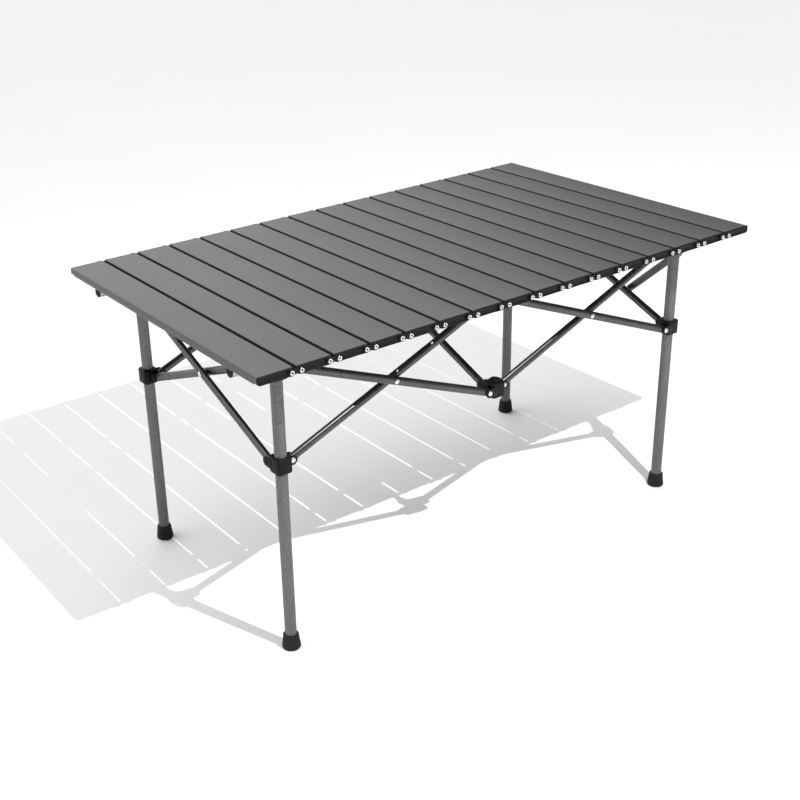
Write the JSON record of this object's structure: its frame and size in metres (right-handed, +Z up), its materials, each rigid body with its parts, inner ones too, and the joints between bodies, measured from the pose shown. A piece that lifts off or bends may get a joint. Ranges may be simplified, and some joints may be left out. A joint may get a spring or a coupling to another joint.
{
  "type": "folding picnic table",
  "caption": "Low camping table with a roll-up slatted metal top on a folding scissor frame with straight tubular legs and rubber feet.",
  "frame": {"origin": "on the floor under the middle of the tabletop", "axes": "+X along the table from left to right, +Y across it from front to back, +Z up"},
  "size_m": [0.949, 0.56, 0.49],
  "materials": {
    "slat_metal": "fine-grained grey powder coat",
    "leg_metal": "grey hammered coat",
    "bar_metal": "satin",
    "arm_metal": "semi-gloss black coat",
    "black_plastic": "moulded",
    "rubber": "matte"
  },
  "bodies": {
    "hub_high_front": {"hub_high_front": "black_plastic"},
    "arm_front_left_inner": {"arm_front_left_inner": "arm_metal"},
    "arm_front_left_outer": {"arm_front_left_outer": "arm_metal"},
    "arm_front_right_inner": {"arm_front_right_inner": "arm_metal"},
    "arm_front_right_outer": {"arm_front_right_outer": "arm_metal"},
    "arm_back_left_inner": {"arm_back_left_inner": "arm_metal"},
    "arm_back_left_outer": {"arm_back_left_outer": "arm_metal"},
    "arm_back_right_inner": {"arm_back_right_inner": "arm_metal"},
    "arm_back_right_outer": {"arm_back_right_outer": "arm_metal"},
    "arm_left_inner": {"arm_left_inner": "arm_metal"},
    "arm_left_outer": {"arm_left_outer": "arm_metal"},
    "arm_middle_inner": {"arm_middle_inner": "arm_metal"},
    "arm_middle_outer": {"arm_middle_outer": "arm_metal"},
    "arm_right_inner": {"arm_right_inner": "arm_metal"},
    "arm_right_outer": {"arm_right_outer": "arm_metal"},
    "leg_front_left": {"leg_front_left": "leg_metal", "foot_front_left": "rubber", "head_front_left": "black_plastic", "bar_front_left": "bar_metal"},
    "slider_front_left": {"slider_front_left": "black_plastic"},
    "leg_back_left": {"leg_back_left": "leg_metal", "foot_back_left": "rubber", "head_back_left": "black_plastic", "bar_back_left": "bar_metal"},
    "slider_back_left": {"slider_back_left": "black_plastic"},
    "leg_front_right": {"leg_front_right": "leg_metal", "foot_front_right": "rubber", "head_front_right": "black_plastic", "bar_front_right": "bar_metal"},
    "slider_front_right": {"slider_front_right": "black_plastic"},
    "leg_back_right": {"leg_back_right": "leg_metal", "foot_back_right": "rubber", "head_back_right": "black_plastic", "bar_back_right": "bar_metal"},
    "slider_back_right": {"slider_back_right": "black_plastic"},
    "hub_low_front": {"hub_low_front": "black_plastic"},
    "hub_high_back": {"hub_high_back": "black_plastic"},
    "hub_low_back": {"hub_low_back": "black_plastic"},
    "lock_stay": {"lock_stay": "arm_metal"},
    "slat_01": {"slat_01": "slat_metal"},
    "slat_02": {"slat_02": "slat_metal"},
    "slat_03": {"slat_03": "slat_metal"},
    "slat_04": {"slat_04": "slat_metal"},
    "slat_05": {"slat_05": "slat_metal"},
    "slat_06": {"slat_06": "slat_metal"},
    "slat_07": {"slat_07": "slat_metal"},
    "slat_08": {"slat_08": "slat_metal"},
    "slat_09": {"slat_09": "slat_metal"},
    "slat_10": {"slat_10": "slat_metal"},
    "slat_11": {"slat_11": "slat_metal"},
    "slat_12": {"slat_12": "slat_metal"},
    "slat_13": {"slat_13": "slat_metal"},
    "slat_14": {"slat_14": "slat_metal"},
    "slat_15": {"slat_15": "slat_metal"},
    "slat_16": {"slat_16": "slat_metal"}
  },
  "joints": [
    {"name": "frame_fold", "type": "hinge", "parent": "hub_high_front", "child": "arm_front_left_inner", "pos_m": [-0.0195, -0.1931, 0.453], "axis": [0, -1, 0], "range_deg": [0, 58]},
    {"name": "cross_front_left", "type": "hinge", "parent": "arm_front_left_inner", "child": "arm_front_left_outer", "pos_m": [-0.1985, -0.1985, 0.381], "axis": [0, 1, 0], "range_deg": [0, 116]},
    {"name": "head_pin_front_left", "type": "hinge", "parent": "arm_front_left_outer", "child": "leg_front_left", "pos_m": [-0.3775, -0.2039, 0.453], "axis": [0, 1, 0], "range_deg": [-58, 0]},
    {"name": "slider_pin_front_left", "type": "hinge", "parent": "arm_front_left_inner", "child": "slider_front_left", "pos_m": [-0.3775, -0.1931, 0.309], "axis": [0, 1, 0], "range_deg": [0, 58]},
    {"name": "fold_front_right_outer", "type": "hinge", "parent": "hub_high_front", "child": "arm_front_right_outer", "pos_m": [0.0195, -0.2039, 0.453], "axis": [0, 1, 0], "range_deg": [0, 58]},
    {"name": "cross_front_right", "type": "hinge", "parent": "arm_front_right_outer", "child": "arm_front_right_inner", "pos_m": [0.1985, -0.1985, 0.381], "axis": [0, 1, 0], "range_deg": [-116, 0]},
    {"name": "head_pin_front_right", "type": "hinge", "parent": "arm_front_right_inner", "child": "leg_front_right", "pos_m": [0.3775, -0.1931, 0.453], "axis": [0, 1, 0], "range_deg": [0, 58]},
    {"name": "slider_pin_front_right", "type": "hinge", "parent": "arm_front_right_outer", "child": "slider_front_right", "pos_m": [0.3775, -0.2039, 0.309], "axis": [0, 1, 0], "range_deg": [-58, 0]},
    {"name": "hub_low_front_pin", "type": "hinge", "parent": "arm_front_left_outer", "child": "hub_low_front", "pos_m": [-0.0195, -0.2039, 0.309], "axis": [0, 1, 0], "range_deg": [-58, 0]},
    {"name": "fold_middle_inner", "type": "hinge", "parent": "hub_high_front", "child": "arm_middle_inner", "pos_m": [0.0054, -0.179, 0.453], "axis": [1, 0, 0], "range_deg": [-58, 0]},
    {"name": "cross_middle", "type": "hinge", "parent": "arm_middle_inner", "child": "arm_middle_outer", "pos_m": [0, 0, 0.381], "axis": [1, 0, 0], "range_deg": [0, 116]},
    {"name": "hub_high_back_pin", "type": "hinge", "parent": "arm_middle_outer", "child": "hub_high_back", "pos_m": [-0.0054, 0.179, 0.453], "axis": [1, 0, 0], "range_deg": [-58, 0]},
    {"name": "hub_low_back_pin", "type": "hinge", "parent": "arm_middle_inner", "child": "hub_low_back", "pos_m": [0.0054, 0.179, 0.309], "axis": [1, 0, 0], "range_deg": [0, 58]},
    {"name": "fold_back_left_inner", "type": "hinge", "parent": "hub_high_back", "child": "arm_back_left_inner", "pos_m": [-0.0195, 0.1931, 0.453], "axis": [0, 1, 0], "range_deg": [-58, 0]},
    {"name": "cross_back_left", "type": "hinge", "parent": "arm_back_left_inner", "child": "arm_back_left_outer", "pos_m": [-0.1985, 0.1985, 0.381], "axis": [0, 1, 0], "range_deg": [0, 116]},
    {"name": "head_pin_back_left", "type": "hinge", "parent": "arm_back_left_outer", "child": "leg_back_left", "pos_m": [-0.3775, 0.2039, 0.453], "axis": [0, 1, 0], "range_deg": [-58, 0]},
    {"name": "slider_pin_back_left", "type": "hinge", "parent": "arm_back_left_inner", "child": "slider_back_left", "pos_m": [-0.3775, 0.1931, 0.309], "axis": [0, 1, 0], "range_deg": [0, 58]},
    {"name": "fold_back_right_outer", "type": "hinge", "parent": "hub_high_back", "child": "arm_back_right_outer", "pos_m": [0.0195, 0.2039, 0.453], "axis": [0, 1, 0], "range_deg": [0, 58]},
    {"name": "cross_back_right", "type": "hinge", "parent": "arm_back_right_outer", "child": "arm_back_right_inner", "pos_m": [0.1985, 0.1985, 0.381], "axis": [0, 1, 0], "range_deg": [-116, 0]},
    {"name": "head_pin_back_right", "type": "hinge", "parent": "arm_back_right_inner", "child": "leg_back_right", "pos_m": [0.3775, 0.1931, 0.453], "axis": [0, 1, 0], "range_deg": [0, 58]},
    {"name": "slider_pin_back_right", "type": "hinge", "parent": "arm_back_right_outer", "child": "slider_back_right", "pos_m": [0.3775, 0.2039, 0.309], "axis": [0, 1, 0], "range_deg": [-58, 0]},
    {"name": "fold_left_inner", "type": "hinge", "parent": "leg_front_left", "child": "arm_left_inner", "pos_m": [-0.3916, -0.179, 0.453], "axis": [1, 0, 0], "range_deg": [-58, 0]},
    {"name": "cross_left", "type": "hinge", "parent": "arm_left_inner", "child": "arm_left_outer", "pos_m": [-0.397, 0, 0.381], "axis": [1, 0, 0], "range_deg": [0, 116]},
    {"name": "fold_right_inner", "type": "hinge", "parent": "leg_front_right", "child": "arm_right_inner", "pos_m": [0.3916, -0.179, 0.453], "axis": [1, 0, 0], "range_deg": [-58, 0]},
    {"name": "cross_right", "type": "hinge", "parent": "arm_right_inner", "child": "arm_right_outer", "pos_m": [0.397, 0, 0.381], "axis": [1, 0, 0], "range_deg": [0, 116]},
    {"name": "stay_swing", "type": "hinge", "parent": "leg_front_right", "child": "lock_stay", "pos_m": [0.4171, -0.1905, 0.4326], "axis": [1, 0, 0], "range_deg": [-40, 0]},
    {"name": "top_lift", "type": "slide", "parent": "hub_high_front", "child": "slat_01", "axis": [0, 0, 1], "range_m": [0, 0.2]},
    {"name": "top_roll", "type": "hinge", "parent": "slat_01", "child": "slat_02", "pos_m": [-0.4165, 0, 0.487], "axis": [0, -1, 0], "range_deg": [0, 42]},
    {"name": "roll_02", "type": "hinge", "parent": "slat_02", "child": "slat_03", "pos_m": [-0.357, 0, 0.487], "axis": [0, -1, 0], "range_deg": [0, 43.1]},
    {"name": "roll_03", "type": "hinge", "parent": "slat_03", "child": "slat_04", "pos_m": [-0.2975, 0, 0.487], "axis": [0, -1, 0], "range_deg": [0, 44.4]},
    {"name": "roll_04", "type": "hinge", "parent": "slat_04", "child": "slat_05", "pos_m": [-0.238, 0, 0.487], "axis": [0, -1, 0], "range_deg": [0, 45.7]},
    {"name": "roll_05", "type": "hinge", "parent": "slat_05", "child": "slat_06", "pos_m": [-0.1785, 0, 0.487], "axis": [0, -1, 0], "range_deg": [0, 47.2]},
    {"name": "roll_06", "type": "hinge", "parent": "slat_06", "child": "slat_07", "pos_m": [-0.119, 0, 0.487], "axis": [0, -1, 0], "range_deg": [0, 48.8]},
    {"name": "roll_07", "type": "hinge", "parent": "slat_07", "child": "slat_08", "pos_m": [-0.0595, 0, 0.487], "axis": [0, -1, 0], "range_deg": [0, 50.6]},
    {"name": "roll_08", "type": "hinge", "parent": "slat_08", "child": "slat_09", "pos_m": [0, 0, 0.487], "axis": [0, -1, 0], "range_deg": [0, 52.7]},
    {"name": "roll_09", "type": "hinge", "parent": "slat_09", "child": "slat_10", "pos_m": [0.0595, 0, 0.487], "axis": [0, -1, 0], "range_deg": [0, 55]},
    {"name": "roll_10", "type": "hinge", "parent": "slat_10", "child": "slat_11", "pos_m": [0.119, 0, 0.487], "axis": [0, -1, 0], "range_deg": [0, 57.7]},
    {"name": "roll_11", "type": "hinge", "parent": "slat_11", "child": "slat_12", "pos_m": [0.1785, 0, 0.487], "axis": [0, -1, 0], "range_deg": [0, 60.8]},
    {"name": "roll_12", "type": "hinge", "parent": "slat_12", "child": "slat_13", "pos_m": [0.238, 0, 0.487], "axis": [0, -1, 0], "range_deg": [0, 64.6]},
    {"name": "roll_13", "type": "hinge", "parent": "slat_13", "child": "slat_14", "pos_m": [0.2975, 0, 0.487], "axis": [0, -1, 0], "range_deg": [0, 69.2]},
    {"name": "roll_14", "type": "hinge", "parent": "slat_14", "child": "slat_15", "pos_m": [0.357, 0, 0.487], "axis": [0, -1, 0], "range_deg": [0, 75]},
    {"name": "roll_15", "type": "hinge", "parent": "slat_15", "child": "slat_16", "pos_m": [0.4165, 0, 0.487], "axis": [0, -1, 0], "range_deg": [0, 82.7]}
  ],
  "couplings": [
    {"joint": "cross_front_left", "follows": "frame_fold", "ratio": 2},
    {"joint": "head_pin_front_left", "follows": "frame_fold", "ratio": -1},
    {"joint": "slider_pin_front_left", "follows": "frame_fold", "ratio": 1},
    {"joint": "fold_front_right_outer", "follows": "frame_fold", "ratio": 1},
    {"joint": "cross_front_right", "follows": "frame_fold", "ratio": -2},
    {"joint": "head_pin_front_right", "follows": "frame_fold", "ratio": 1},
    {"joint": "slider_pin_front_right", "follows": "frame_fold", "ratio": -1},
    {"joint": "hub_low_front_pin", "follows": "frame_fold", "ratio": -1},
    {"joint": "fold_middle_inner", "follows": "frame_fold", "ratio": -1},
    {"joint": "cross_middle", "follows": "frame_fold", "ratio": 2},
    {"joint": "hub_high_back_pin", "follows": "frame_fold", "ratio": -1},
    {"joint": "hub_low_back_pin", "follows": "frame_fold", "ratio": 1},
    {"joint": "fold_back_left_inner", "follows": "frame_fold", "ratio": -1},
    {"joint": "cross_back_left", "follows": "frame_fold", "ratio": 2},
    {"joint": "head_pin_back_left", "follows": "frame_fold", "ratio": -1},
    {"joint": "slider_pin_back_left", "follows": "frame_fold", "ratio": 1},
    {"joint": "fold_back_right_outer", "follows": "frame_fold", "ratio": 1},
    {"joint": "cross_back_right", "follows": "frame_fold", "ratio": -2},
    {"joint": "head_pin_back_right", "follows": "frame_fold", "ratio": 1},
    {"joint": "slider_pin_back_right", "follows": "frame_fold", "ratio": -1},
    {"joint": "fold_left_inner", "follows": "frame_fold", "ratio": -1},
    {"joint": "cross_left", "follows": "frame_fold", "ratio": 2},
    {"joint": "fold_right_inner", "follows": "frame_fold", "ratio": -1},
    {"joint": "cross_right", "follows": "frame_fold", "ratio": 2},
    {"joint": "roll_02", "follows": "top_roll", "ratio": 1.0262},
    {"joint": "roll_03", "follows": "top_roll", "ratio": 1.0571},
    {"joint": "roll_04", "follows": "top_roll", "ratio": 1.0881},
    {"joint": "roll_05", "follows": "top_roll", "ratio": 1.1238},
    {"joint": "roll_06", "follows": "top_roll", "ratio": 1.1619},
    {"joint": "roll_07", "follows": "top_roll", "ratio": 1.2048},
    {"joint": "roll_08", "follows": "top_roll", "ratio": 1.2548},
    {"joint": "roll_09", "follows": "top_roll", "ratio": 1.3095},
    {"joint": "roll_10", "follows": "top_roll", "ratio": 1.3738},
    {"joint": "roll_11", "follows": "top_roll", "ratio": 1.4476},
    {"joint": "roll_12", "follows": "top_roll", "ratio": 1.5381},
    {"joint": "roll_13", "follows": "top_roll", "ratio": 1.6476},
    {"joint": "roll_14", "follows": "top_roll", "ratio": 1.7857},
    {"joint": "roll_15", "follows": "top_roll", "ratio": 1.969}
  ]
}
